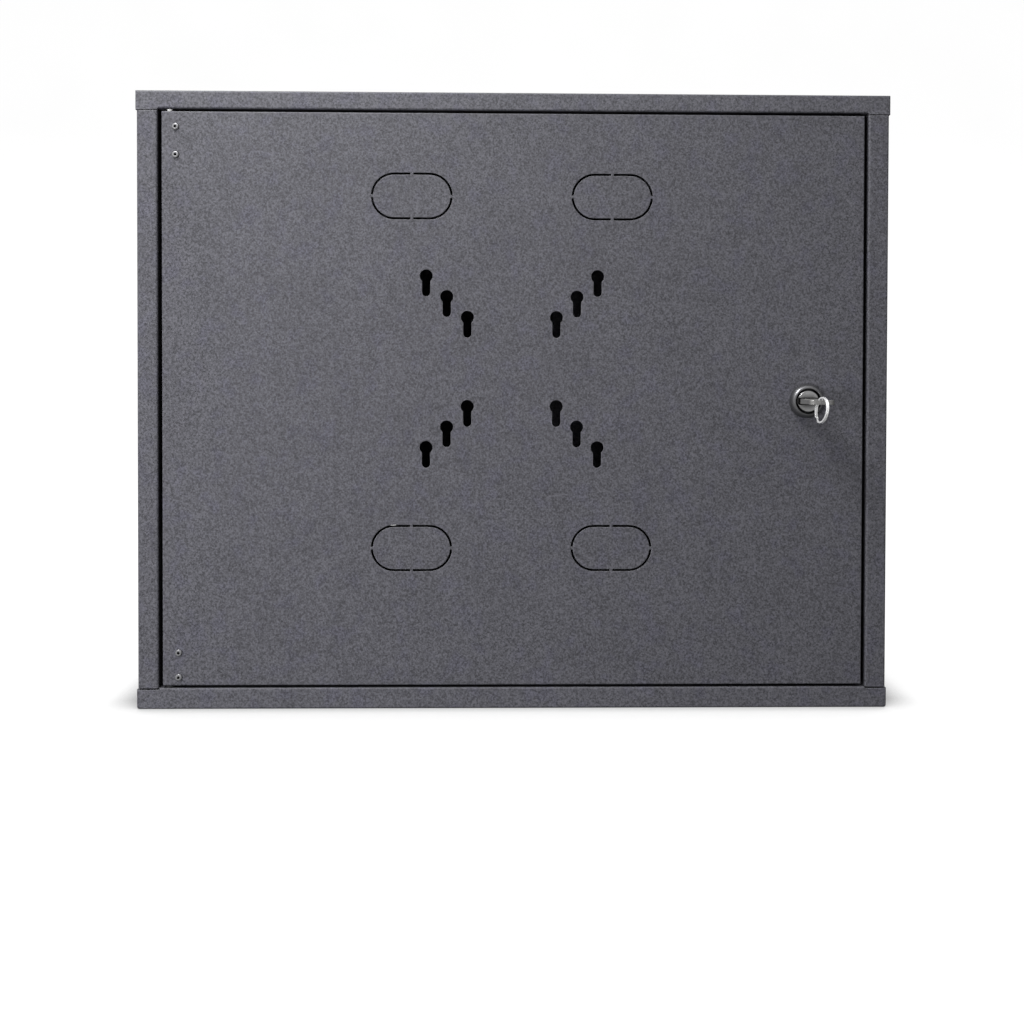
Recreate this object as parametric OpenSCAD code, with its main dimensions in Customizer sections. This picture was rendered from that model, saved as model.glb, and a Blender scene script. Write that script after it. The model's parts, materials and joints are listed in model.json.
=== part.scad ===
// Lockable steel wall cabinet for a video recorder, with a hinged door.
// X runs to the right, Y to the back and Z up; the origin is the middle of the underside.

/* [Cabinet] */
// Overall width
cabinet_w = 550; // [450:1:700]
// Overall height
cabinet_h = 450; // [400:1:600]
// Overall depth
cabinet_d = 150; // [130:1:300]
// Sheet thickness of the body and its caps
sheet = 1; // [0.8:0.1:1.2]
// Width of each front post
post_w = 15; // [14:1:24]
// Depth of the door frame behind the front face
frame_depth = 14; // [14:1:20]
// Reach of the stop lip behind the door's edge
stop_lip = 10; // [8:1:14]

/* [Caps] */
// Height of the top band inside the door opening
top_band = 13; // [11:0.5:18]
// Height of the top band over the posts
top_band_post = 14; // [12:0.5:19]
// Height of the bottom band inside the door opening
bottom_band = 15.5; // [13:0.5:20]
// Height of the bottom band over the posts
bottom_band_post = 14.3; // [12:0.1:19]
// Corner radius of the top cap, seen from the front
top_corner = 1; // [0.6:0.1:3]
// Corner radius of the bottom cap, seen from the front
bottom_corner = 3; // [0.6:0.1:3]

/* [Door] */
// Sheet thickness of the door
door_sheet = 1.2; // [1:0.1:1.5]
// Gap between the door and each post
side_gap = 3; // [3:0.1:4]
// Gap above the door
top_gap = 2.1; // [2:0.1:4]
// Gap below the door
bottom_gap = 1.9; // [1.5:0.1:4]
// Depth of the door's folded edges
door_depth = 12; // [10:0.5:12]
// Distance between the screens' bolt holes, outer set
screen_pitch = 125; // [100:1:200]
// Step from one set of bolt holes to the next, on each side
screen_step = 15; // [12:1:20]
// Number of bolt hole sets
screen_sets = 3; // [1:1:3]
// Height of the bolt pattern's centre above the underside
screen_z = 254; // [200:1:260]
// Sideways place of the bolt pattern and the cable knockouts
pattern_x = -2; // [-20:1:20]

/* [Lock] */
// Sideways place of the lock
lock_x = 214; // [180:1:216]
// Height of the lock
lock_z = 226; // [150:1:300]
// Length of the cam from the lock's axis to its tip
cam_reach = 43; // [40:0.5:44]

/* [Recorder shelf] */
// Width of the shelf
shelf_w = 420; // [300:1:500]
// Depth of the shelf
shelf_d = 72; // [50:1:90]
// Height of the shelf's top above the underside
shelf_z = 71; // [60:1:120]

/* [Hidden] */
$fn = 64;
cut = 1; // how far a cutter runs past what it cuts

// Planes of the body
front_y = -cabinet_d / 2;
back_y = cabinet_d / 2;
wrap_x = cabinet_w / 2 - sheet;
open_x = wrap_x - post_w;
open_low = bottom_band;
open_high = cabinet_h - top_band;
lip_y = front_y + frame_depth - sheet;
bend_r = 0.6;
seam_gap = 0.6;
corner_run = 0.8;
fold_r = 1.2;
edge_r = 1.5;
cap_rear_lip = 12;
hinge_relief = 21;

// Planes of the door
door_x = open_x - side_gap;
door_low = open_low + bottom_gap;
door_high = open_high - top_gap;
door_back = front_y + door_sheet;
door_edge_r = 1;

// Hinge line, behind the door's left edge, so that the corner clears the post
hinge_x = -door_x + 4.7;
hinge_y = front_y + 5;
pin_r = 2;
pin_hole_r = 2.06;
bracket_t = 1.5;
bracket_gap = 0.1;
bracket_right = 7;
upper_bracket_left = 2.6;
lower_bracket_left = 4;
lower_bracket_over = 6;
ear_depth = 7.3;
ear_left = 3.3;
upper_ear_low = 398;
upper_leg_z = upper_ear_low - pin_r - 0.05;
clip_z = 414;
clip_t = 0.8;
pin_overlap = 4;

// Rivets: sideways place of each pair and the height of each rivet
upper_rivet_x = -245.7;
lower_rivet_x = -244.2;
upper_rivets = [423.6, 403.4];
lower_rivets = [41.5, 23.6];
rivet_r = 1.6;
rivet_hole_r = 1.65;

// Pre-cut cable plugs, held by four small bridges
knockout_w = 59.4;
knockout_h = 34;
knockout_slit = 1.6;
knockout_tab = 2;
knockout_dx = 73;
knockout_dz = 128.3;
knockout_z = 246.2;

// Keyholes for a screen's bolts and for wall screws
bolt_head_r = 4.75;
bolt_slot_w = 6;
bolt_travel = 11.8;
wall_head_r = 6;
wall_slot_w = 6.5;
wall_travel = 12;
wall_pitch_x = 450;
wall_pitch_z = 300;
wall_z = 80;

// Lock, measured along its axis from the door's face, outwards positive
barrel_r = 9.5;
barrel_flat = 8;
barrel_end = -14.2;
thread_pitch = 1.5;
thread_depth = 0.6;
bezel_h = 6.4;
plug_r = 6;
plug_bore_r = 6.06;
plug_face_r = 7.9;
plug_face_low = 2.1;
plug_face_high = 6;
plug_end = -14.5;
channel_w = 5.2;
channel_depth = 2.4;
cam_t = 2;
cam_w = 14;
cam_hub_r = 9;
square_w = 6.5;
cam_washer_t = 0.8;
wafer_at = [-1.2, -3.2, -5.2, -7.2];
wafer_t = 1;

// Key, in the same measure
blade_w = 8;
blade_t = 2;
blade_tip = -9;
bow_low = 13;
bow_high = 39;
bow_w = 18;
bow_t = 3;
bow_hole_r = 4;
bow_rim = 2;
neck_w = 11.4;
neck_t = 3.8;

// Split ring, hanging from the bow's rim
ring_r = 8.4;
ring_wire = 1.6;
ring_w = 2;
ring_drop = 5.3;
ring_turn = 8;
ring_lean = 7;

// Shelf and its fixings
shelf_lip = 18;
shelf_flange = 26;
shelf_stud_x = [-180, -60, 60, 180];
shelf_stud_z = shelf_z - 15;
m5_r = 2.5;
m5_hole_r = 2.75;
m5_nut_af = 8;
m5_nut_t = 4;
m5_washer_t = 1;

// Places of the earth studs
body_earth = [-wrap_x + sheet, 30, 40];
door_earth = [-220, door_back, 60];

paint = "#5f5f65";
zinc = "#b9bcc0";
chrome = "#c9cbce";

function unit(v) = v / norm(v);

// ---- General shapes ----

module box_between(low, high) {
    translate(low) cube(high - low);
}

// A rectangle with round corners, from corner low to corner high
module round_rect(low, high, r) {
    size = high - low;
    translate(low + [r, 0]) square([size.x - 2 * r, size.y]);
    translate(low + [0, r]) square([size.x, size.y - 2 * r]);
    for (x = [low.x + r, high.x - r], y = [low.y + r, high.y - r]) translate([x, y]) circle(r);
}

module obround(w, h) {
    square([w - h, h], center = true);
    for (side = [-1, 1]) translate([side * (w - h) / 2, 0]) circle(h / 2);
}

// Children drawn in X and Z become a solid from y0 back to y1
module along_y(y0, y1) {
    translate([0, y1, 0]) rotate([90, 0, 0]) linear_extrude(y1 - y0) children();
}

// Children drawn in Y and Z become a solid from x0 to x1
module along_x(x0, x1) {
    translate([x0, 0, 0]) rotate([90, 0, 90]) linear_extrude(x1 - x0) children();
}

// Children drawn in X and Y become a solid from z0 up to z1
module along_z(z0, z1) {
    translate([0, 0, z0]) linear_extrude(z1 - z0) children();
}

// A sheet folded at right angles, drawn along the middle of its thickness
module folded_strip(points, t, r) {
    last = len(points) - 1;
    bend = r + t / 2;
    for (i = [0:last - 1]) {
        run = points[i + 1] - points[i];
        start = i == 0 ? 0 : bend;
        end = i == last - 1 ? 0 : bend;
        translate(points[i] + unit(run) * start)
            rotate(atan2(run.y, run.x))
                translate([0, -t / 2]) square([norm(run) - start - end, t]);
    }
    for (i = [1:last - 1]) {
        u = unit(points[i] - points[i - 1]);
        v = unit(points[i + 1] - points[i]);
        far = 2 * (r + t);
        translate(points[i] + (v - u) * bend) intersection() {
            difference() {
                circle(r + t);
                circle(r);
            }
            polygon([[0, 0], -v * far, (u - v) * far, u * far]);
        }
    }
}

// The slit round a cable knockout, left open but for its four bridges
module knockout_slit() {
    difference() {
        obround(knockout_w, knockout_h);
        obround(knockout_w - 2 * knockout_slit, knockout_h - 2 * knockout_slit);
        square([knockout_tab, 2 * knockout_h], center = true);
        square([2 * knockout_w, knockout_tab], center = true);
    }
}

// A round hole with a narrower slot that runs along +Y or -Y
module keyhole(head_r, slot_w, travel) {
    circle(head_r);
    translate([-slot_w / 2, min(travel, 0)]) square([slot_w, abs(travel)]);
    translate([0, travel]) circle(slot_w / 2);
}

// Hexagon nut with its corners turned off, washer and threaded stud, all standing on z = 0
module hex_nut(af, t, hole_r) {
    corner = af / sqrt(3);
    face_r = 0.48 * af;
    slope = 0.55 * (corner - face_r);
    difference() {
        intersection() {
            cylinder(h = t, r = corner, $fn = 6);
            rotate_extrude() polygon([
                [0, 0], [face_r, 0], [corner + 0.1, slope], [corner + 0.1, t - slope],
                [face_r, t], [0, t]
            ]);
        }
        translate([0, 0, -cut]) cylinder(h = t + 2 * cut, r = hole_r);
    }
}

module flat_washer(outer_r, hole_r, t) {
    difference() {
        cylinder(h = t, r = outer_r);
        translate([0, 0, -cut]) cylinder(h = t + 2 * cut, r = hole_r);
    }
}

module threaded_rod(r, length, pitch, depth) {
    turns = floor((length - 1) / pitch);
    rotate_extrude() polygon(concat(
        [[0, 0], [r - depth, 0]],
        [for (i = [0:turns - 1], step = [0:1])
            [step == 0 ? r - depth : r, 0.5 + (i + step / 2) * pitch]],
        [[r - depth, 0.5 + turns * pitch], [r - depth, length], [0, length]]
    ));
}

// ---- Body ----

// The back, sides, posts, door frame and stops are one folded sheet
module wrap_section() {
    lip_mid = lip_y + sheet / 2;
    side = wrap_x - sheet / 2;
    inner = open_x + sheet / 2;
    face = front_y + sheet / 2;
    folded_strip([
        [-inner - stop_lip + 2, lip_mid],
        [-inner, lip_mid],
        [-inner, face],
        [-side, face],
        [-side, back_y - sheet / 2],
        [side, back_y - sheet / 2],
        [side, face],
        [inner, face],
        [inner, lip_mid],
        [open_x - stop_lip, lip_mid]
    ], sheet, bend_r);
}

// Slots in each side wall, in two banks
module vent_slots() {
    slot_l = 60;
    slot_w = 3.6;
    pitch = 11;
    for (bank = [110, cabinet_h - 110], row = [-2.5:2.5])
        translate([18, bank + row * pitch]) obround(slot_l, slot_w);
}

module body_wrap() {
    color(paint) difference() {
        along_z(sheet, cabinet_h - sheet) wrap_section();
        // the posts' faces stop short of the bands, which leaves the seam
        for (z = [[0, bottom_band_post + seam_gap],
                  [cabinet_h - top_band_post - seam_gap, cabinet_h]])
            box_between([-cabinet_w, front_y - cut, z[0]], [cabinet_w, front_y + sheet, z[1]]);
        // the frame and its lips stop against the caps' folded frames
        for (z = [[0, open_low - 0.1], [open_high + 0.1, cabinet_h]], side = [0, 1])
            mirror([side, 0, 0]) box_between(
                [0, front_y - cut, z[0]], [wrap_x - sheet - 0.5, lip_y + 2 * sheet, z[1]]);
        for (x = [-wall_pitch_x / 2, wall_pitch_x / 2], z = [wall_z, wall_z + wall_pitch_z])
            translate([x, 0, z]) along_y(back_y - sheet - cut, back_y + cut)
                keyhole(wall_head_r, wall_slot_w, wall_travel);
        for (x = [-120, 120]) translate([x, 0, 40 + knockout_h / 2 + shelf_z])
            along_y(back_y - sheet - cut, back_y + cut) knockout_slit();
        along_x(-cabinet_w, cabinet_w) vent_slots();
    }
}

// A cap lying with its plate on z = 0; the top one is turned over
module cap(band, band_post, corner_r) {
    half_w = cabinet_w / 2;
    frame_x = open_x - 0.2;
    rise = band - band_post;
    difference() {
        union() {
            intersection() {
                union() {
                    box_between([-half_w, front_y, 0], [half_w, back_y, sheet]);
                    for (side = [0, 1]) mirror([side, 0, 0])
                        box_between([wrap_x, front_y, 0], [half_w, back_y, band_post]);
                    along_y(front_y, front_y + sheet) polygon([
                        [-half_w, 0],
                        [half_w, 0],
                        [half_w, band_post],
                        [frame_x + corner_run, band_post],
                        [frame_x + corner_run - abs(rise), band],
                        [-frame_x - corner_run + abs(rise), band],
                        [-frame_x - corner_run, band_post],
                        [-half_w, band_post]
                    ]);
                }
                along_y(front_y, back_y)
                    round_rect([-half_w, 0], [half_w, 3 * band], corner_r);
                along_z(0, 2 * band)
                    round_rect([-half_w, front_y], [half_w, back_y], edge_r);
                along_x(-half_w, half_w)
                    round_rect([front_y, 0], [back_y + 2 * edge_r, 3 * band], edge_r);
            }
            box_between([-frame_x, front_y + sheet, band - sheet],
                        [frame_x, lip_y + sheet, band]);
            box_between([-door_x + hinge_relief, lip_y, band - sheet],
                        [open_x - stop_lip - 0.5, lip_y + sheet, band + stop_lip - 1]);
            box_between([-wrap_x + 1.5 * sheet, back_y - 2 * sheet, sheet],
                        [wrap_x - 1.5 * sheet, back_y - sheet, cap_rear_lip]);
        }
        // the fold from the band into the door frame
        along_x(-frame_x - corner_run + abs(rise), frame_x + corner_run - abs(rise))
            translate([front_y, band]) difference() {
                translate([-cut, -fold_r]) square([fold_r + cut, fold_r + cut]);
                translate([fold_r, -fold_r]) circle(fold_r);
            }
        translate([hinge_x, hinge_y, band - 2 * sheet]) cylinder(h = 4 * sheet, r = pin_hole_r);
        for (x = [-120, 120]) translate([x, 30, -cut])
            linear_extrude(sheet + 2 * cut) knockout_slit();
    }
}

module top_cap() {
    color(paint) translate([0, 0, cabinet_h]) mirror([0, 0, 1])
        cap(top_band, top_band_post, top_corner);
}

module bottom_cap() {
    color(paint) cap(bottom_band, bottom_band_post, bottom_corner);
}

// Nylon washer under the door, round the lower hinge pin
module hinge_washer() {
    color("dimgray") translate([hinge_x, hinge_y, open_low])
        flat_washer(4.4, pin_hole_r, bottom_gap - 0.05);
}

// ---- Recorder shelf ----

module device_shelf() {
    back = back_y - sheet;
    color(paint) difference() {
        along_x(-shelf_w / 2, shelf_w / 2) folded_strip([
            [back - sheet / 2, shelf_z - shelf_flange],
            [back - sheet / 2, shelf_z - sheet / 2],
            [back - shelf_d, shelf_z - sheet / 2],
            [back - shelf_d, shelf_z + shelf_lip]
        ], sheet, bend_r);
        for (x = [-160:80:160], y = [22, 48]) translate([x, y, shelf_z - 2 * sheet])
            linear_extrude(3 * sheet) obround(46, 6);
        for (x = shelf_stud_x) translate([x, 0, shelf_stud_z])
            along_y(back - 2 * sheet, back + cut) circle(m5_hole_r);
    }
}

// Children stand on the inside of the back wall, once at each shelf stud
module at_shelf_studs(lift) {
    for (x = shelf_stud_x) translate([x, back_y - sheet - lift, shelf_stud_z])
        rotate([90, 0, 0]) children();
}

module shelf_studs() {
    color(zinc) at_shelf_studs(0) threaded_rod(m5_r, 12, 0.8, 0.35);
}

module shelf_washers() {
    color(zinc) at_shelf_studs(sheet) flat_washer(5, m5_hole_r, m5_washer_t);
}

module shelf_nuts() {
    color(zinc) at_shelf_studs(sheet + m5_washer_t) hex_nut(m5_nut_af, m5_nut_t, m5_hole_r);
}

// ---- Earth studs ----

module at_body_earth(lift) {
    translate(body_earth + [lift, 0, 0]) rotate([0, 90, 0]) children();
}

module at_door_earth(lift) {
    translate(door_earth + [0, lift, 0]) rotate([-90, 0, 0]) children();
}

module body_earth_stud() {
    color("goldenrod") at_body_earth(0) threaded_rod(m5_r, 14, 0.8, 0.35);
}

module body_earth_washer() {
    color(zinc) at_body_earth(0) flat_washer(5, m5_hole_r, m5_washer_t);
}

module body_earth_nut() {
    color("goldenrod") at_body_earth(m5_washer_t) hex_nut(m5_nut_af, m5_nut_t, m5_hole_r);
}

module door_earth_stud() {
    color("goldenrod") at_door_earth(0) threaded_rod(m5_r, 12, 0.8, 0.35);
}

module door_earth_washer() {
    color(zinc) at_door_earth(0) flat_washer(5, m5_hole_r, m5_washer_t);
}

module door_earth_nut() {
    color("goldenrod") at_door_earth(m5_washer_t) hex_nut(m5_nut_af, m5_nut_t, m5_hole_r);
}

// ---- Door ----

// Bolt holes for a screen: three square sets, one inside the other
module screen_holes() {
    for (set = [0:screen_sets - 1], sx = [-1, 1], sz = [-1, 1]) {
        half = screen_pitch / 2 - set * screen_step;
        translate([pattern_x + sx * half, screen_z + sz * half])
            keyhole(bolt_head_r, bolt_slot_w, -bolt_travel);
    }
}

// The housing's hole, with two flats that stop it turning
module lock_hole() {
    intersection() {
        circle(barrel_r + 0.1);
        square([3 * barrel_r, 2 * barrel_flat + 0.2], center = true);
    }
}

module door_panel() {
    inner_x = door_x - door_sheet;
    color(paint) difference() {
        intersection() {
            box_between([-door_x, front_y, door_low], [door_x, front_y + door_depth, door_high]);
            along_z(door_low, door_high) round_rect(
                [-door_x, front_y], [door_x, front_y + 2 * door_depth], door_edge_r);
            along_x(-door_x, door_x) round_rect(
                [front_y, door_low], [front_y + 2 * door_depth, door_high], door_edge_r);
            along_y(front_y, front_y + door_depth) round_rect(
                [-door_x, door_low], [door_x, door_high], door_edge_r);
        }
        box_between([-inner_x, door_back, door_low + door_sheet],
                    [inner_x, front_y + door_depth + cut, door_high - door_sheet]);
        along_y(front_y - cut, door_back + cut) {
            screen_holes();
            for (sx = [-1, 1], sz = [-1, 1])
                translate([pattern_x + sx * knockout_dx, knockout_z + sz * knockout_dz])
                    knockout_slit();
            translate([lock_x, lock_z]) lock_hole();
            for (z = upper_rivets) translate([upper_rivet_x, z]) circle(rivet_hole_r);
            for (z = lower_rivets) translate([lower_rivet_x, z]) circle(rivet_hole_r);
        }
        translate([hinge_x, hinge_y, 0]) cylinder(h = cabinet_h, r = pin_hole_r);
    }
}

// A bracket's bent-back ear, with the hinge pin's hole
module hinge_ear(right, low) {
    box_between([hinge_x - ear_left, door_back, low],
                [right, door_back + ear_depth, low + bracket_t]);
}

module bracket_flange(left, right, low, high) {
    box_between([left, door_back, low], [right, door_back + bracket_t, high]);
}

module upper_hinge_bracket() {
    right = upper_rivet_x + bracket_right;
    top = door_high - door_sheet - bracket_gap;
    color(zinc) difference() {
        union() {
            bracket_flange(upper_rivet_x - upper_bracket_left, right, upper_ear_low, top);
            hinge_ear(right, upper_ear_low);
            hinge_ear(right, top - bracket_t);
        }
        translate([hinge_x, hinge_y, upper_ear_low - cut])
            cylinder(h = cabinet_h, r = pin_hole_r);
        for (z = upper_rivets) translate([upper_rivet_x, 0, z])
            along_y(door_back - cut, door_back + 2 * bracket_t) circle(rivet_hole_r);
    }
}

module lower_hinge_bracket() {
    right = lower_rivet_x + bracket_right;
    low = door_low + door_sheet + bracket_gap;
    high = lower_rivets[0] + lower_bracket_over;
    color(zinc) difference() {
        union() {
            bracket_flange(lower_rivet_x - lower_bracket_left, right, low, high);
            hinge_ear(right, low);
        }
        translate([hinge_x, hinge_y, 0]) cylinder(h = 2 * low, r = pin_hole_r);
        for (z = lower_rivets) translate([lower_rivet_x, 0, z])
            along_y(door_back - cut, door_back + 2 * bracket_t) circle(rivet_hole_r);
    }
}

// Blind rivet with its axis along +z: a domed head outside, a bulb inside
module blind_rivet() {
    head_r = 2.6;
    head_h = 1.3;
    crown_r = 1.6;
    foot_h = 0.2;
    head_sink = 0.1;
    bulb_low = door_sheet + bracket_t;
    bulb_lap = 0.2;
    bulb_r = 2.1;
    bulb_h = 1.9;
    mandrel_r = 1;
    mandrel_depth = 2.4;
    difference() {
        union() {
            rotate_extrude() polygon(concat(
                [[0, head_sink], [rivet_r, head_sink], [rivet_r, 0], [head_r, 0]],
                [for (a = [0:15:90])
                    [crown_r + (head_r - crown_r) * cos(a), -foot_h - (head_h - foot_h) * sin(a)]],
                [[0, -head_h]]
            ));
            cylinder(h = bulb_low + bulb_lap, r = rivet_r);
            translate([0, 0, bulb_low]) cylinder(h = bulb_h, r = bulb_r);
        }
        translate([0, 0, -head_h - cut]) cylinder(h = head_h + cut + mandrel_depth, r = mandrel_r);
    }
}

module hinge_rivets() {
    color(zinc) {
        for (z = upper_rivets) translate([upper_rivet_x, front_y, z])
            rotate([-90, 0, 0]) blind_rivet();
        for (z = lower_rivets) translate([lower_rivet_x, front_y, z])
            rotate([-90, 0, 0]) blind_rivet();
    }
}

// Headed pin through the lower bracket, the door's fold, the washer and the cap
module lower_hinge_pin() {
    ear_top = door_low + door_sheet + bracket_gap + bracket_t;
    pin_low = open_low - pin_overlap;
    head_r = 3.2;
    head_h = 1.2;
    color(zinc) translate([hinge_x, hinge_y, 0]) {
        translate([0, 0, pin_low]) cylinder(h = ear_top - pin_low, r = pin_r);
        translate([0, 0, ear_top]) cylinder(h = head_h, r = head_r);
    }
}

// ---- Sprung upper hinge pin ----

// The pin's lower end is bent back as a finger grip
module upper_hinge_pin() {
    grip = 14;
    nose_h = 1;
    nose_r = pin_r - 0.8;
    pin_high = open_high + pin_overlap;
    color(zinc) translate([hinge_x, hinge_y, 0]) {
        translate([0, 0, upper_leg_z]) cylinder(h = pin_high - nose_h - upper_leg_z, r = pin_r);
        translate([0, 0, pin_high - nose_h]) cylinder(h = nose_h, r1 = pin_r, r2 = nose_r);
        translate([0, 0, upper_leg_z]) sphere(pin_r);
        translate([0, 0, upper_leg_z]) rotate([-90, 0, 0]) cylinder(h = grip, r = pin_r);
    }
}

// Helical wire, swept as rings of points along the coil
module upper_hinge_spring() {
    wire_r = 0.3;
    coil_r = 2.5;
    turns = 7;
    sides = 8;
    per_turn = 18;
    low = upper_ear_low + bracket_t + wire_r;
    high = clip_z - wire_r;
    rings = turns * per_turn;
    points = [for (i = [0:rings], j = [0:sides - 1])
        let (a = i * 360 / per_turn, b = j * 360 / sides, r = coil_r + wire_r * cos(b))
            [r * cos(a), r * sin(a), low + (high - low) * i / rings + wire_r * sin(b)]];
    walls = [for (i = [0:rings - 1], j = [0:sides - 1])
        let (k = (j + 1) % sides)
            [i * sides + j, (i + 1) * sides + j, (i + 1) * sides + k, i * sides + k]];
    ends = [[for (j = [0:sides - 1]) j], [for (j = [sides - 1:-1:0]) rings * sides + j]];
    color(zinc) translate([hinge_x, hinge_y, 0]) polyhedron(points, concat(walls, ends));
}

module upper_pin_clip() {
    clip_r = 3.2;
    mouth = 2.4;
    color(zinc) translate([hinge_x, hinge_y, clip_z]) difference() {
        cylinder(h = clip_t, r = clip_r);
        translate([0, 0, -cut]) cylinder(h = clip_t + 2 * cut, r = pin_r);
        translate([0, -mouth / 2, -cut]) cube([2 * pin_r, mouth, clip_t + 2 * cut]);
    }
}

// ---- Lock ----

// Children are drawn with the lock's axis on +z, outwards, from the door's face
module at_lock() {
    translate([lock_x, front_y, lock_z]) rotate([90, 0, 0]) children();
}

// Domed chrome bezel in front, threaded barrel with two flats behind
module lock_housing() {
    ridges = floor((-barrel_end - 4) / thread_pitch);
    recess_r = 9.2;
    rim_r = 9.5;
    base_r = 12.5;
    base_h = 0.9;
    color(chrome) at_lock() {
        rotate_extrude() polygon(concat(
            [[plug_bore_r, 0], [base_r, 0]],
            [for (a = [0:10:90])
                [rim_r + (base_r - rim_r) * cos(a), base_h + (bezel_h - base_h) * sin(a)]],
            [[recess_r, 6], [recess_r, 2], [plug_bore_r, 2]]
        ));
        intersection() {
            rotate_extrude() polygon(concat(
                [[plug_bore_r, 0], [plug_bore_r, barrel_end], [barrel_r - thread_depth, barrel_end]],
                [for (i = [0:ridges - 1], step = [0:1])
                    [step == 0 ? barrel_r - thread_depth : barrel_r,
                     barrel_end + 0.5 + (i + step / 2) * thread_pitch]],
                [[barrel_r - thread_depth, barrel_end + 0.5 + ridges * thread_pitch],
                 [barrel_r - thread_depth, 0]]
            ));
            translate([0, 0, barrel_end / 2])
                cube([4 * barrel_r, 2 * barrel_flat, 4 * barrel_r], center = true);
        }
    }
}

module lock_washer() {
    color(zinc) at_lock() translate([0, 0, -door_sheet - 0.8])
        flat_washer(12.4, barrel_r + 0.1, 0.8);
}

module lock_nut() {
    color(zinc) at_lock() translate([0, 0, -door_sheet - 0.8 - 3.5])
        hex_nut(22, 3.5, barrel_r + 0.05);
}

module lock_plug() {
    wafer_h = 5.6;
    tail = cam_t - 0.2;
    color(chrome) at_lock() difference() {
        union() {
            translate([0, 0, plug_face_low])
                cylinder(h = plug_face_high - 0.5 - plug_face_low, r = plug_face_r);
            translate([0, 0, plug_face_high - 0.5])
                cylinder(h = 0.5, r1 = plug_face_r, r2 = plug_face_r - 0.5);
            translate([0, 0, plug_end]) cylinder(h = plug_face_low - plug_end + 0.1, r = plug_r);
            translate([-square_w / 2, -square_w / 2, plug_end - tail])
                cube([square_w, square_w, tail + 0.1]);
        }
        // wide channel across the face, then the keyway
        translate([-plug_face_r - cut, -channel_w / 2, plug_face_high - channel_depth])
            cube([2 * (plug_face_r + cut), channel_w, channel_depth + cut]);
        translate([-blade_w / 2 - 0.1, -blade_t / 2 - 0.1, blade_tip - 0.5])
            cube([blade_w + 0.2, blade_t + 0.2, 20]);
        for (z = wafer_at) translate([-plug_face_r, -wafer_h / 2, z - wafer_t / 2 - 0.03])
            cube([2 * plug_face_r, wafer_h, wafer_t + 0.06]);
        translate([0, 0, plug_end - tail - cut]) cylinder(h = 6.2, r = 1.65);
    }
}

// Plates that the key lines up inside the plug
module lock_wafers() {
    color("peru") at_lock() for (z = wafer_at) translate([0, 0, z]) difference() {
        cube([10.5, 5.5, wafer_t], center = true);
        cube([blade_w + 0.1, blade_t + 0.1, 2 * wafer_t], center = true);
    }
}

// At rest the cam points up, clear of the frame
module lock_cam() {
    tip_r = cam_w / 2;
    color(zinc) at_lock() translate([0, 0, plug_end - cam_t]) linear_extrude(cam_t) difference() {
        union() {
            circle(cam_hub_r);
            translate([-cam_w / 2, 0]) square([cam_w, cam_reach - tip_r]);
            translate([0, cam_reach - tip_r]) circle(tip_r);
        }
        square(square_w + 0.1, center = true);
    }
}

module cam_washer() {
    color(zinc) at_lock() translate([0, 0, plug_end - cam_t - cam_washer_t])
        flat_washer(5.5, 2.1, cam_washer_t);
}

module cam_screw() {
    seat = plug_end - cam_t - cam_washer_t;
    color(zinc) at_lock() difference() {
        union() {
            translate([0, 0, seat - 2.4]) cylinder(h = 1.2, r1 = 3, r2 = 3.8);
            translate([0, 0, seat - 1.2]) cylinder(h = 1.2, r = 3.8);
            translate([0, 0, seat]) cylinder(h = 5.6, r = 1.6);
        }
        for (turn = [0, 90]) rotate(turn)
            translate([-2.2, -0.45, seat - 2.4 - cut]) cube([4.4, 0.9, cut + 1.3]);
    }
}

// ---- Key and ring ----

module key() {
    bit = 1.1;
    bow_end_r = 4;
    neck_low = plug_face_high - channel_depth + 0.4;
    color(chrome) at_lock() rotate([90, 0, 0]) {
        // blade, with its bitting and one groove along each face
        translate([0, 0, -blade_t / 2]) difference() {
            linear_extrude(blade_t) difference() {
                translate([-blade_w / 2, blade_tip]) square([blade_w, bow_low - blade_tip]);
                for (side = [-1, 1], z = [-8, -6, -4, -2]) translate([side * blade_w / 2, z])
                    rotate(45) square(bit / sqrt(2) * (z % 4 == 0 ? 1 : 0.7), center = true);
                for (side = [-1, 1]) translate([side * blade_w / 2, blade_tip])
                    rotate(45) square(2.4, center = true);
            }
            for (z = [-0.4, blade_t - 0.2]) translate([-0.6, blade_tip - cut, z])
                cube([1.2, bow_low - blade_tip - 4, 0.6]);
        }
        translate([0, 0, -neck_t / 2]) linear_extrude(neck_t)
            round_rect([-neck_w / 2, neck_low], [neck_w / 2, bow_low + 2], 1);
        translate([0, 0, -bow_t / 2]) linear_extrude(bow_t) difference() {
            round_rect([-bow_w / 2, bow_low], [bow_w / 2, bow_high], bow_end_r);
            translate([0, bow_high - bow_rim - bow_hole_r]) circle(bow_hole_r);
        }
    }
}

// Two coils of wire side by side, closed into one ring
module key_ring() {
    half_w = ring_w / 2;
    wire = ring_wire / 2;
    groove = 0.25;
    color(chrome) at_lock() translate([0, 0, bow_high - bow_rim / 2])
        rotate(-ring_lean) translate([0, -ring_drop, 0]) rotate([0, ring_turn, 0])
            rotate([0, 90, 0]) rotate_extrude() translate([ring_r, 0]) polygon([
                [-wire, -half_w + 0.3], [-wire + 0.3, -half_w], [wire - 0.3, -half_w],
                [wire, -half_w + 0.3], [wire, -groove], [wire - groove, 0], [wire, groove],
                [wire, half_w - 0.3], [wire - 0.3, half_w], [-wire + 0.3, half_w],
                [-wire, half_w - 0.3], [-wire, groove], [-wire + groove, 0], [-wire, -groove]
            ]);
}

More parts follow.
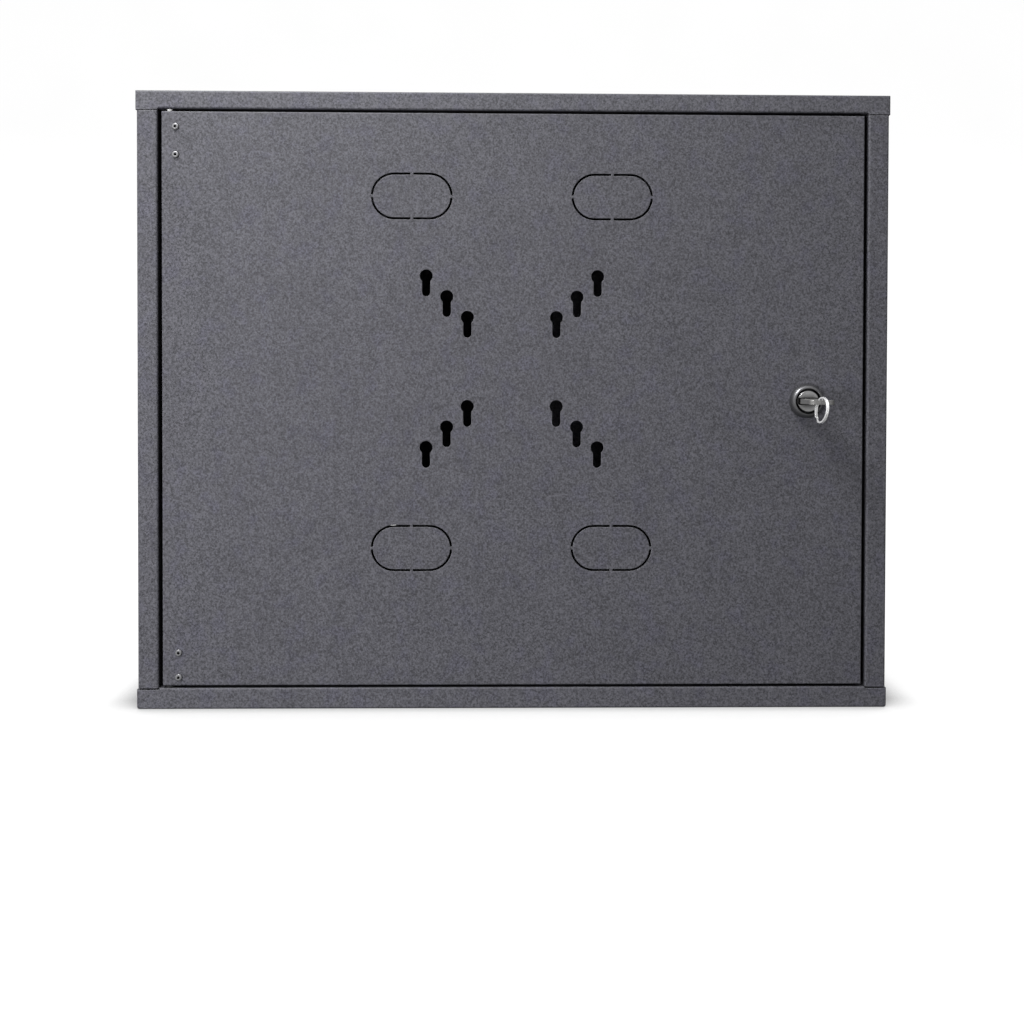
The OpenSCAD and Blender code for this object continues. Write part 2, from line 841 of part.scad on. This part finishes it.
body_wrap();
top_cap();
bottom_cap();
device_shelf();
shelf_studs();
shelf_washers();
shelf_nuts();
body_earth_stud();
body_earth_washer();
body_earth_nut();
hinge_washer();
door_panel();
upper_hinge_bracket();
lower_hinge_bracket();
hinge_rivets();
lower_hinge_pin();
lock_housing();
lock_washer();
lock_nut();
door_earth_stud();
door_earth_washer();
door_earth_nut();
upper_hinge_pin();
upper_hinge_spring();
upper_pin_clip();
lock_plug();
lock_wafers();
lock_cam();
cam_washer();
cam_screw();
key();
key_ring();
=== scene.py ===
import json
import math

import bmesh
import bpy
from mathutils import Matrix, Vector

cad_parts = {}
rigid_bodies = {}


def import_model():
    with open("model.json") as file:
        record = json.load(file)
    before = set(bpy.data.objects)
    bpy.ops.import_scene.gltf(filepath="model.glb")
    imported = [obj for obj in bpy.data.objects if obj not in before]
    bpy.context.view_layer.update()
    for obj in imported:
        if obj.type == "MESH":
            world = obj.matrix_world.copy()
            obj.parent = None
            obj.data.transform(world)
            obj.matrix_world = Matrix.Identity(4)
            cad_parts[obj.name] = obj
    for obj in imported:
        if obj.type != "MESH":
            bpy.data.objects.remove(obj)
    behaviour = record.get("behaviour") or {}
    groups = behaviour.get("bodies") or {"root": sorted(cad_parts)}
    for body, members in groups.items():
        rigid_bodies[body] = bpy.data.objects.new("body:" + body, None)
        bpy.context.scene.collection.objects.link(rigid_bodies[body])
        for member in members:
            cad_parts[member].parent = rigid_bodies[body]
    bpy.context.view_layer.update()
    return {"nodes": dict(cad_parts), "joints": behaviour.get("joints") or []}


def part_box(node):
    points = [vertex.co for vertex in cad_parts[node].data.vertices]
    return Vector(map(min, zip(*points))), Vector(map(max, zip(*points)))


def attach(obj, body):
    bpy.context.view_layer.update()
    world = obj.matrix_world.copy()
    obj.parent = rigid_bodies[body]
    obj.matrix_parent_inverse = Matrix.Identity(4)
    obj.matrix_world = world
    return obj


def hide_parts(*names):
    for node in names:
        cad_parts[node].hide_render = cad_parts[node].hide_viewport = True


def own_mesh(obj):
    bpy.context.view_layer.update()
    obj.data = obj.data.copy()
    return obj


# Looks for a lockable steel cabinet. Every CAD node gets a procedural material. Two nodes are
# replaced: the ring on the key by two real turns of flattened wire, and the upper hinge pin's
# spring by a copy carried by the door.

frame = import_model()
nodes = frame["nodes"]
joints = {joint["name"]: joint for joint in frame["joints"]}


# ---- Places and sizes, from the frame ----

def middle(node):
    low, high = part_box(node)
    return (Vector(low) + Vector(high)) / 2


def extent(node):
    low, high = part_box(node)
    return Vector(high) - Vector(low)


front_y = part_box("top_cap")[0][1]
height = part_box("top_cap")[1][2]
lock_axis = Vector(joints["lock_turn"]["pos_m"])


# ---- Node tree helpers ----

MIX_A, MIX_B, MIX_RESULT = 6, 7, 2    # the Mix node's sockets for colours


class Tree:
    """A new material's node tree, with its Principled shader."""

    def __init__(self, name):
        self.material = bpy.data.materials.new(name)
        self.material.use_nodes = True
        self.nodes = self.material.node_tree.nodes
        self.links = self.material.node_tree.links
        self.shader = self.nodes["Principled BSDF"]
        self.where = self.nodes.new("ShaderNodeTexCoord").outputs["Object"]

    def put(self, socket, value):
        if isinstance(value, bpy.types.NodeSocket):
            self.links.new(value, socket)
        else:
            socket.default_value = value

    def finish(self, **inputs):
        """Sets the shader's inputs, with _ for a space, and returns the material."""
        for name, value in inputs.items():
            self.put(self.shader.inputs[name.replace("_", " ")], value)
        return self.material

    def noise(self, scale, detail=2.0, roughness=0.5, where=None):
        """Noise from 0 to 1; scale is in grains per metre."""
        node = self.nodes.new("ShaderNodeTexNoise")
        self.put(node.inputs["Vector"], where or self.where)
        node.inputs["Scale"].default_value = scale
        node.inputs["Detail"].default_value = detail
        node.inputs["Roughness"].default_value = roughness
        return node.outputs["Fac"]

    def stretched(self, scale):
        """The object's coordinates, multiplied by scale; a low value draws the grain out."""
        node = self.nodes.new("ShaderNodeMapping")
        self.put(node.inputs["Vector"], self.where)
        node.inputs["Scale"].default_value = scale
        return node.outputs["Vector"]

    def spread(self, value, low, high, to_low=0.0, to_high=1.0):
        """value from low..high becomes to_low..to_high, and stays inside."""
        node = self.nodes.new("ShaderNodeMapRange")
        self.put(node.inputs["Value"], value)
        limits = {"From Min": low, "From Max": high, "To Min": to_low, "To Max": to_high}
        for name, limit in limits.items():
            self.put(node.inputs[name], limit)
        return node.outputs["Result"]

    def maths(self, operation, a, b):
        node = self.nodes.new("ShaderNodeMath")
        node.operation = operation
        self.put(node.inputs[0], a)
        self.put(node.inputs[1], b)
        return node.outputs["Value"]

    def vector(self, operation, a, b):
        node = self.nodes.new("ShaderNodeVectorMath")
        node.operation = operation
        self.put(node.inputs[0], a)
        self.put(node.inputs[1], b)
        return node.outputs["Value" if operation in ("DOT_PRODUCT", "LENGTH") else "Vector"]

    def mix(self, share, a, b, blend="MIX"):
        """Colour a where share is 0, b where it is 1."""
        node = self.nodes.new("ShaderNodeMix")
        node.data_type = "RGBA"
        node.blend_type = blend
        self.put(node.inputs["Factor"], share)
        self.put(node.inputs[MIX_A], a)
        self.put(node.inputs[MIX_B], b)
        return node.outputs[MIX_RESULT]

    def bump(self, height, strength, distance, normal):
        node = self.nodes.new("ShaderNodeBump")
        self.put(node.inputs["Height"], height)
        node.inputs["Strength"].default_value = strength
        node.inputs["Distance"].default_value = distance
        self.put(node.inputs["Normal"], normal)
        return node.outputs["Normal"]

    def rounded(self, radius):
        """The normal, as if every edge were rounded to this radius."""
        node = self.nodes.new("ShaderNodeBevel")
        node.samples = 6
        node.inputs["Radius"].default_value = radius
        return node.outputs["Normal"]

    def edges(self, rounded):
        """1 where the rounded normal leaves the true one, 0 on flat sheet."""
        true = self.nodes.new("ShaderNodeNewGeometry").outputs["Normal"]
        return self.spread(self.vector("DOT_PRODUCT", rounded, true), 0.998, 0.88)

    def shelter(self, distance):
        """0 in a deep hollow or slot, 1 in the open."""
        node = self.nodes.new("ShaderNodeAmbientOcclusion")
        node.samples = 8
        node.inputs["Distance"].default_value = distance
        return node.outputs["AO"]


def shade(colour, by=1.0):
    return (colour[0] * by, colour[1] * by, colour[2] * by, 1.0)


# ---- Materials ----

COAT = (0.0440, 0.0437, 0.0505)
COAT_RUB = (0.100, 0.099, 0.107)
BLUISH = (0.985, 0.98, 1.05, 1)
WHITE = (1.0, 1.0, 1.0, 1.0)
BLACK = (0.0, 0.0, 0.0, 1.0)


def powder_coat(name, level=1.0):
    """Fine-textured powder coat: sand-like grain, cloudy film, slightly rubbed folds and edges, and
    painted shade in narrow slots.
    """
    t = Tree(name)
    grain = t.noise(820, 2, 0.55)
    fine = t.noise(2300, 1, 0.5)
    sand = t.maths("ADD", t.maths("MULTIPLY", grain, 0.7), t.maths("MULTIPLY", fine, 0.3))
    dark, pale = shade(COAT, 0.40 * level), shade(COAT, 1.60 * level)
    speckle = t.mix(t.spread(sand, 0.34, 0.66), dark, pale)
    thin, thick = (0.95, 0.95, 0.95, 1), (1.05, 1.05, 1.05, 1)
    film = t.mix(t.spread(t.noise(30, 4, 0.6), 0.3, 0.7), thin, thick)
    tint = t.mix(t.spread(t.noise(75, 2, 0.5), 0.52, 0.68), WHITE, BLUISH)
    clouded = t.mix(1.0, t.mix(1.0, speckle, film, "MULTIPLY"), tint, "MULTIPLY")
    rounded = t.rounded(0.0007)
    rub = t.maths("MULTIPLY", t.edges(rounded), t.spread(t.noise(500, 3), 0.4, 0.62, 0.25, 0.8))
    worn = t.mix(rub, clouded, shade(COAT_RUB, level))
    # Painted shade: the coat is darkened to near black in narrow slots and gaps, where shade falls.
    slot = t.spread(t.shelter(0.008), 0.42, 0.12)
    skin = t.bump(t.noise(380, 2), 0.25, 0.0003, rounded)
    return t.finish(
        Base_Color=t.mix(slot, worn, shade(COAT, 0.1)),
        Roughness=t.spread(sand, 0.3, 0.7, 0.50, 0.68),
        Specular_IOR_Level=0.3,
        Normal=t.bump(sand, 0.55, 0.00016, skin),
    )


def plated(name, colour, roughness, grain=700, stretch=(1, 1, 1), uneven=0.12, radius=0.0002,
           turned=None, hollow_shade=0.25, reach=0.002, shade_from=0.9, dull=0.0):
    """Plated or bare metal, dulled by a film here and there and darkened by painted shade in its
    hollows.

    Its grain is even, drawn along one way, or turned round an axis. The argument before reach is
    how dark the painted shade in a hollow gets, reach how near its walls are, and the one after
    reach how open a place may be and still be shaded.
    """
    t = Tree(name)
    if turned is None:
        where = t.stretched(stretch)
    else:
        from_axis = t.vector("SUBTRACT", t.where, turned)
        across = t.vector("MULTIPLY", from_axis, (1.0, 0.0, 1.0))
        where = t.vector("LENGTH", across, (0.0, 0.0, 0.0))
    marks = t.noise(grain, 3, 0.65, where)
    cloud = t.spread(t.noise(160, 3, 0.6), 0.3, 0.7)
    clean = t.mix(cloud, shade(colour, 0.82), shade(colour))
    # Painted shade: hollows are darkened towards near black, where shade falls; it is no dirt.
    hollow = t.spread(t.shelter(reach), shade_from, shade_from / 2, 0.0, hollow_shade)
    rounded = t.rounded(radius)
    return t.finish(
        Base_Color=t.mix(hollow, clean, shade(colour, 0.05)),
        Metallic=t.spread(cloud, 0.0, 1.0, 1.0 - 1.3 * dull, 1.0 - 0.7 * dull),
        Roughness=t.spread(marks, 0.3, 0.7, roughness - uneven / 2, roughness + uneven / 2),
        Normal=t.bump(marks, 0.15, 0.00004, rounded),
    )


def nylon(name):
    """Black moulded nylon, mottled and a little rough, with painted shade in its hollows."""
    t = Tree(name)
    mottle = t.noise(300, 3, 0.6)
    clean = t.mix(mottle, (0.008, 0.008, 0.009, 1), (0.016, 0.016, 0.017, 1))
    # Painted shade: the nylon is darkened to near black where it sits in a gap.
    hollow = t.spread(t.shelter(0.006), 0.95, 0.55)
    return t.finish(
        Base_Color=t.mix(hollow, clean, (0.002, 0.002, 0.002, 1)),
        Roughness=t.spread(mottle, 0.3, 0.7, 0.52, 0.68),
        Specular_IOR_Level=0.2,
        Normal=t.bump(t.noise(1800, 2), 0.2, 0.00004, t.rounded(0.0002)),
    )


ALONG_X, ALONG_Y, ALONG_Z = (0.06, 1, 1), (1, 0.06, 1), (1, 1, 0.06)

coat = powder_coat("powder_coat")
# Painted light: the caps' coat is made lighter than the door's, 1.10 and 1.06 times, to stand in
# for how light falls on them.
lid_coat_painted_lighter = powder_coat("powder_coat_lid_painted_lighter", 1.10)
base_coat_painted_lighter = powder_coat("powder_coat_base_painted_lighter", 1.06)
zinc = plated("zinc_plate", (0.56, 0.58, 0.62), 0.34, 500, uneven=0.16)
zinc_sheet = plated("zinc_sheet", (0.52, 0.54, 0.57), 0.38, 260, ALONG_X, 0.18)
# The rivets, the lock housing and the plug get full painted shade in their hollows.
rivet_steel = plated("rivet_steel", (0.26, 0.26, 0.27), 0.42, 600, hollow_shade=1.0, reach=0.005,
                     shade_from=1.1, radius=0.00015, dull=0.3)
pin_steel = plated("pin_steel", (0.80, 0.80, 0.80), 0.38, 800, ALONG_Z, hollow_shade=0.0, dull=0.6)
spring_steel = plated("spring_steel", (0.40, 0.40, 0.41), 0.24, 900, uneven=0.1, radius=0.00005)
satin_chrome = plated("satin_chrome", (0.16, 0.16, 0.166), 0.36, 2600, turned=lock_axis, hollow_shade=1.0,
                      reach=0.004, shade_from=0.5, dull=0.1)
plug_nickel = plated("plug_nickel", (0.54, 0.54, 0.54), 0.32, 2200, turned=lock_axis, hollow_shade=1.0,
                     reach=0.006)
key_nickel = plated("key_nickel", (0.24, 0.238, 0.233), 0.32, 800, ALONG_Y, radius=0.0004, dull=0.3)
ring_nickel = plated("ring_nickel", (0.95, 0.95, 0.95), 0.28, 600, uneven=0.08, radius=0.0001,
                     dull=0.3)
brass = plated("brass", (0.66, 0.47, 0.20), 0.30, 700, uneven=0.16)

LOOKS = {
    "body_wrap": coat, "device_shelf": coat, "door_panel": coat,
    "top_cap": lid_coat_painted_lighter, "bottom_cap": base_coat_painted_lighter,
    "shelf_studs": zinc, "shelf_washers": zinc, "shelf_nuts": zinc,
    "body_earth_stud": brass, "body_earth_nut": brass, "body_earth_washer": zinc,
    "door_earth_stud": brass, "door_earth_nut": brass, "door_earth_washer": zinc,
    "hinge_washer": nylon("black_nylon"),
    "upper_hinge_bracket": zinc_sheet, "lower_hinge_bracket": zinc_sheet,
    "hinge_rivets": rivet_steel, "lower_hinge_pin": pin_steel,
    "upper_hinge_pin": pin_steel, "upper_hinge_spring": spring_steel,
    "upper_pin_clip": spring_steel,
    "lock_housing": satin_chrome, "lock_washer": zinc, "lock_nut": zinc,
    "lock_plug": plug_nickel, "lock_wafers": brass, "lock_cam": zinc_sheet,
    "cam_washer": zinc, "cam_screw": zinc,
    "key": key_nickel, "key_ring": ring_nickel,
}
for node, look in LOOKS.items():
    slots = nodes[node].data.materials
    slots.clear()
    slots.append(look)


# ---- Split ring ----

def split_ring():
    """Two turns of flattened wire, side by side, that cross over between their two ends."""
    centre = middle("key_ring")
    outer = extent("key_ring").z / 2
    axis = Vector(joints["ring_swing"]["axis"]).normalized()
    side = axis.cross(Vector((0, 0, 1))).normalized()
    up = side.cross(axis)
    thick, wide, corner, corner_points = 0.0013, 0.00097, 0.0003, 4
    radius = outer - thick / 2
    section = []
    for sx, sz in ((1, 1), (-1, 1), (-1, -1), (1, -1)):
        for step in range(corner_points):
            turn = math.atan2(sz, sx) - math.pi / 4 + math.pi / 6 * step
            section.append((sx * (thick / 2 - corner) + corner * math.cos(turn),
                            sz * (wide / 2 - corner) + corner * math.sin(turn)))
    first, last, count = 20.0, 700.0, 200    # degrees along the wire, and steps between them
    cross_at, cross_half = 360.0, 17.0       # where one turn crosses over to the other
    seat = math.radians(150)                 # how far the whole ring is turned in its own plane
    bm = bmesh.new()
    rings = []
    for i in range(count + 1):
        degrees = first + (last - first) * i / count
        share = min(1.0, max(0.0, (degrees - cross_at + cross_half) / (2 * cross_half)))
        layer = (share * share * (3 - 2 * share) - 0.5) * wide
        a = math.radians(degrees) + seat
        out = side * math.sin(a) + up * math.cos(a)
        rings.append([bm.verts.new(centre + out * (radius + x) + axis * (layer + z))
                      for x, z in section])
    n = len(section)
    for a, b in zip(rings, rings[1:]):
        for k in range(n):
            bm.faces.new((a[k], a[(k + 1) % n], b[(k + 1) % n], b[k]))
    bm.faces.new(rings[0])
    bm.faces.new(list(reversed(rings[-1])))
    bmesh.ops.recalc_face_normals(bm, faces=bm.faces)
    for face in bm.faces:
        face.smooth = len(face.verts) == 4
    mesh = bpy.data.meshes.new("split_ring")
    bm.to_mesh(mesh)
    bm.free()
    mesh.materials.append(ring_nickel)
    ring = bpy.data.objects.new("split_ring", mesh)
    bpy.context.scene.collection.objects.link(ring)
    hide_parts("key_ring")
    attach(ring, "ring")


split_ring()


# ---- Spring of the upper pin ----

def pin_spring():
    """The spring stands on the door's bracket and moves with the door."""
    coil = bpy.data.objects.new("pin_spring", nodes["upper_hinge_spring"].data.copy())
    bpy.context.scene.collection.objects.link(coil)
    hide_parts("upper_hinge_spring")
    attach(coil, "door")
    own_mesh(coil)


pin_spring()


# ---- Stage, lights and camera ----

def white_floor():
    """A plain floor that runs up into a plain wall far behind, in one soft curve.

    It glows, so that it stays white, and its glow and colour carry a painted shadow where the
    cabinet shelters it: fainter in front of the cabinet than beside it.
    """
    t = Tree("studio_white")
    place = t.nodes.new("ShaderNodeSeparateXYZ")
    t.put(place.inputs["Vector"], t.where)
    # Painted shadow: the floor's glow and colour get darker near the cabinet, and less so in front
    # of it, by place along Y.
    painted_shadow_darkest = t.spread(place.outputs["Y"], front_y - 0.012, front_y + 0.02, 0.90, 0.20)
    painted_shadow_level = t.spread(t.shelter(0.033), 0.5, 1.0, painted_shadow_darkest, 1.0)
    paper = t.mix(t.noise(3, 2), (0.94, 0.94, 0.94, 1), (0.97, 0.97, 0.97, 1))
    lit = t.mix(painted_shadow_level, BLACK, paper)
    t.finish(Base_Color=t.mix(0.65, lit, BLACK), Roughness=0.9,
             Specular_IOR_Level=0.1, Emission_Color=lit, Emission_Strength=0.83)
    depth, rise, radius, half, steps = 3.0, 4.0, 1.2, 5.0, 16
    outline = [(-depth, 0.0)]
    for i in range(steps + 1):
        turn = math.pi / 2 * i / steps
        outline.append((depth - radius + radius * math.sin(turn), radius - radius * math.cos(turn)))
    outline.append((depth, rise))
    mesh = bpy.data.meshes.new("floor")
    points = [(x, y, z) for y, z in outline for x in (-half, half)]
    faces = [(2 * i, 2 * i + 1, 2 * i + 3, 2 * i + 2) for i in range(len(outline) - 1)]
    mesh.from_pydata(points, [], faces)
    mesh.shade_smooth()
    mesh.materials.append(t.material)
    floor = bpy.data.objects.new("floor", mesh)
    floor.visible_diffuse = False
    floor.visible_glossy = False
    bpy.context.scene.collection.objects.link(floor)


def soft_box(name, stands, looks_at, wide, tall, watts):
    """A rectangular lamp that the camera doesn't see."""
    lamp = bpy.data.lights.new(name, "AREA")
    lamp.shape = "RECTANGLE"
    lamp.size, lamp.size_y = wide, tall
    lamp.energy = watts
    holder = bpy.data.objects.new(name, lamp)
    holder.location = stands
    holder.rotation_euler = (Vector(looks_at) - Vector(stands)).to_track_quat("-Z", "Y").to_euler()
    holder.visible_camera = False
    bpy.context.scene.collection.objects.link(holder)
    return holder


def studio():
    """A sky brighter from above and the left, and three soft boxes.

    The camera sees the sky plain white. The key and upper lamps light the cabinet only, and the
    key gives no gloss.
    """
    world = bpy.data.worlds.new("studio")
    world.use_nodes = True
    new, link = world.node_tree.nodes.new, world.node_tree.links.new
    towards = new("ShaderNodeVectorMath")
    towards.operation = "DOT_PRODUCT"
    link(new("ShaderNodeTexCoord").outputs["Generated"], towards.inputs[0])
    towards.inputs[1].default_value = Vector((-0.4, -0.2, 0.9)).normalized()
    sky = new("ShaderNodeMapRange")
    link(towards.outputs["Value"], sky.inputs["Value"])
    limits = {"From Min": -0.6, "From Max": 0.8, "To Min": 0.10, "To Max": 1.00}
    for name, limit in limits.items():
        sky.inputs[name].default_value = limit
    level = new("ShaderNodeMapRange")
    link(new("ShaderNodeLightPath").outputs["Is Camera Ray"], level.inputs["Value"])
    link(sky.outputs["Result"], level.inputs["To Min"])
    level.inputs["To Max"].default_value = 0.99
    back = world.node_tree.nodes["Background"]
    back.inputs["Color"].default_value = WHITE
    link(level.outputs["Result"], back.inputs["Strength"])
    bpy.context.scene.world = world
    centre = (0.0, front_y, height / 2)
    key = soft_box("key_light", (-0.50, front_y - 0.78, 0.17), centre, 0.45, 0.45, 13.2)
    upper = soft_box("upper_light", (-0.42, front_y - 0.43, 1.15), centre, 0.4, 0.25, 17.5)
    soft_box("top_light", (0.0, 0.1, 2.4), (0.0, 0.1, 0.0), 3.0, 1.6, 12)
    lit = bpy.data.collections.new("lit_by_lamps")
    for thing in bpy.context.scene.collection.all_objects:
        if thing.type == "MESH" and thing.name != "floor":
            lit.objects.link(thing)
    for lamp in (key, upper):
        lamp.light_linking.receiver_collection = lit
    key.visible_glossy = False


def camera():
    """Square on to the door, a little above its middle, turned slightly to the right and down."""
    stands = Vector((0.0, front_y - 0.7, height * 0.544))
    data = bpy.data.cameras.new("camera")
    data.sensor_width = 36.0
    data.lens = 33.7
    data.shift_x = -0.0177
    data.shift_y = -0.1213
    data.clip_start = 0.01
    holder = bpy.data.objects.new("camera", data)
    to_right, down, rolled = 0.93, 0.78, 0.155    # degrees
    turn = Matrix.Rotation(math.radians(-to_right), 4, "Z")
    tilt = Matrix.Rotation(math.radians(90 - down), 4, "X")
    roll = Matrix.Rotation(math.radians(rolled), 4, "Z")
    holder.matrix_world = Matrix.Translation(stands) @ turn @ tilt @ roll
    bpy.context.scene.collection.objects.link(holder)
    bpy.context.scene.camera = holder


bpy.context.scene.view_settings.view_transform = "Standard"
white_floor()
studio()
camera()
